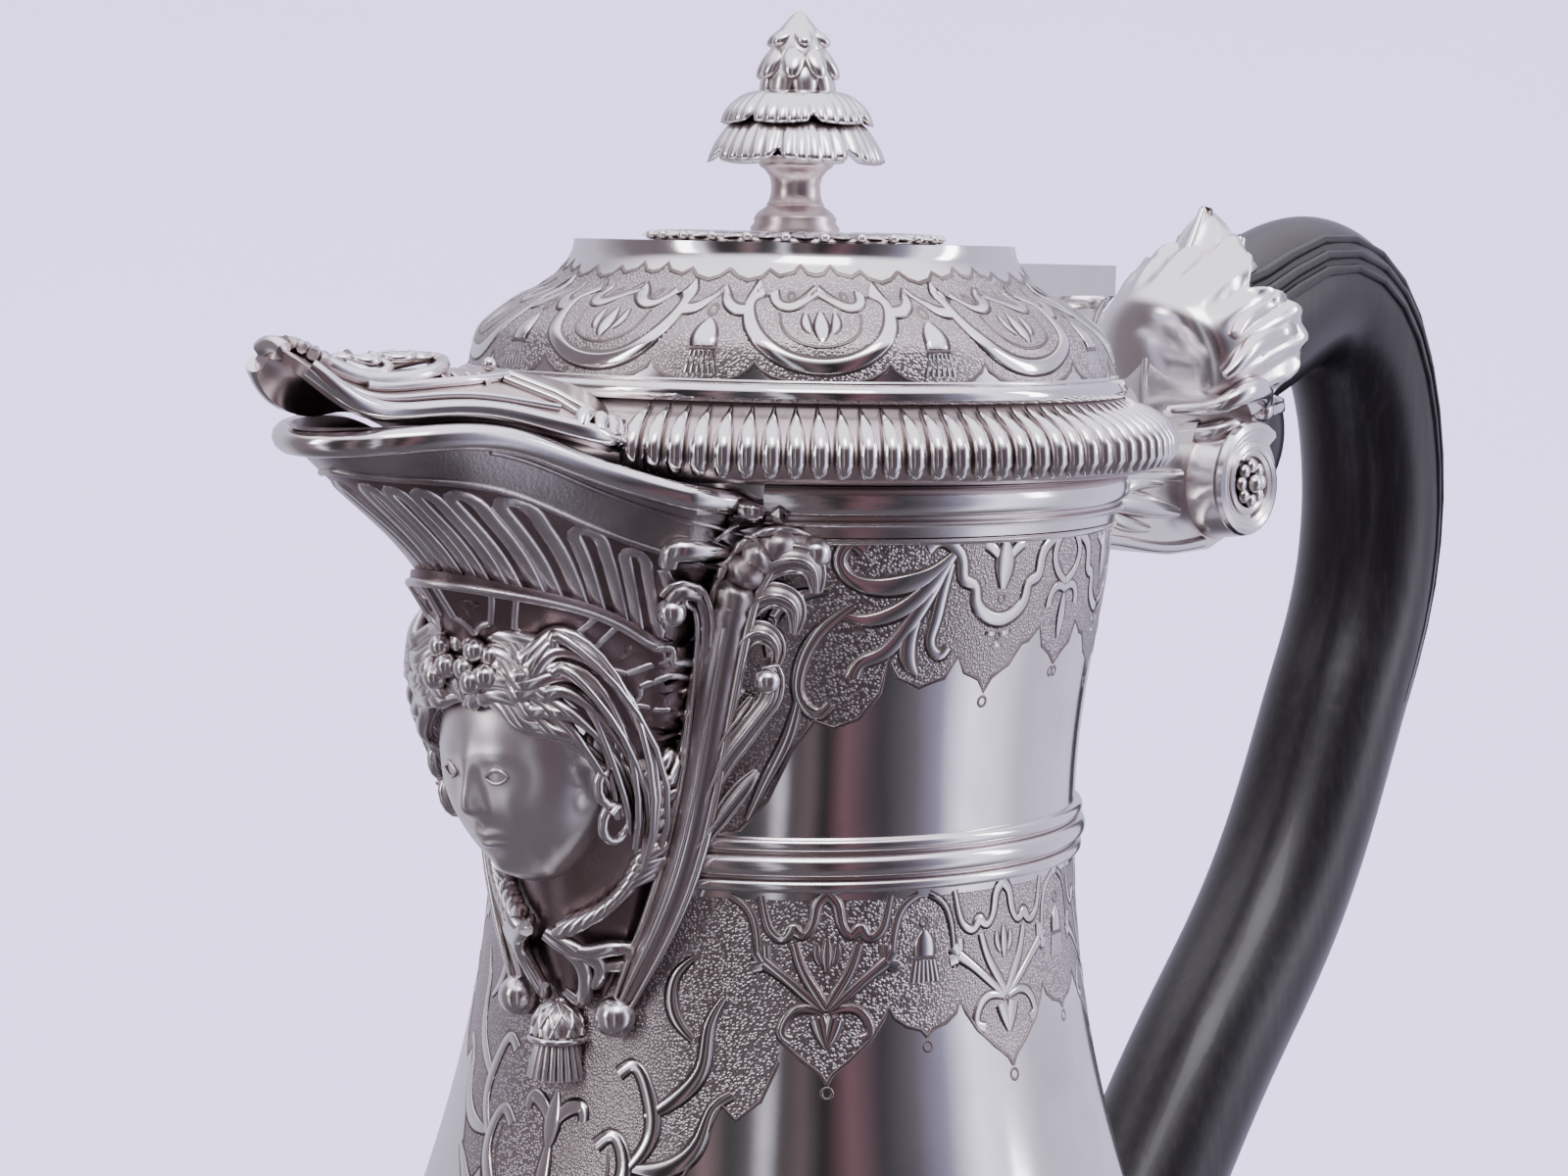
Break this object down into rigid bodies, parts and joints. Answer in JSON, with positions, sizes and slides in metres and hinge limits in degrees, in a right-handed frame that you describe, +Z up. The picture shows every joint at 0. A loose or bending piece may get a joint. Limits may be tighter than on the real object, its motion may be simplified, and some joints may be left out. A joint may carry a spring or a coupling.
{
  "type": "coffee pot",
  "caption": "Pear-shaped silver coffee pot with a hinged domed lid, beak spout with a cast mask, engraved bands and a dark wooden scroll handle.",
  "frame": {"origin": "the vessel's axis at the plane of the table, in the middle of the foot", "axes": "+Z up along the vessel's axis, -X towards the spout, +X towards the handle, Y across along the hinge pin"},
  "size_m": [0.1663, 0.0986, 0.2204],
  "materials": {
    "raised_silver": "polished and satin silver with grey-brown tone in the engraved lines",
    "cast_silver": "cast and chased silver, bright on the high parts and darkened in the recesses",
    "silver_fittings": "plain turned silver",
    "ebony": "polished ebony"
  },
  "bodies": {
    "pot": {"body_shell": "raised_silver", "neck_rim": "raised_silver", "neck_ring": "raised_silver", "spout_shell": "raised_silver", "spout_rim_wire": "raised_silver", "foot": "raised_silver", "foot_border": "raised_silver", "foot_collar": "raised_silver", "hinge_ears": "raised_silver", "spout_diadem": "cast_silver", "spout_mask": "cast_silver", "spout_tassel": "cast_silver", "spout_bracket_left": "cast_silver", "spout_bracket_right": "cast_silver", "upper_socket": "cast_silver", "upper_arm": "cast_silver", "upper_volute_left": "cast_silver", "upper_volute_right": "cast_silver", "lower_socket": "cast_silver", "hinge_pin": "silver_fittings", "upper_handle_pin": "silver_fittings", "lower_handle_pin": "silver_fittings", "handle": "ebony"},
    "lid": {"lid_dome": "raised_silver", "lid_gadroon_border": "raised_silver", "lid_bead_ring": "raised_silver", "lid_bezel": "raised_silver", "lid_rosette": "cast_silver", "spout_cover": "raised_silver", "spout_cover_ornament": "cast_silver", "lid_hinge_lug": "raised_silver", "finial_stem": "cast_silver", "finial_petals_lower": "cast_silver", "finial_petals_upper": "cast_silver", "finial_bud": "cast_silver", "finial_stud": "silver_fittings", "finial_washer": "silver_fittings", "finial_nut": "silver_fittings"}
  },
  "joints": [
    {"name": "lid_hinge", "type": "hinge", "parent": "pot", "child": "lid", "pos_m": [0.039, 0, 0.184], "axis": [0, 1, 0], "range_deg": [0, 90]}
  ]
}
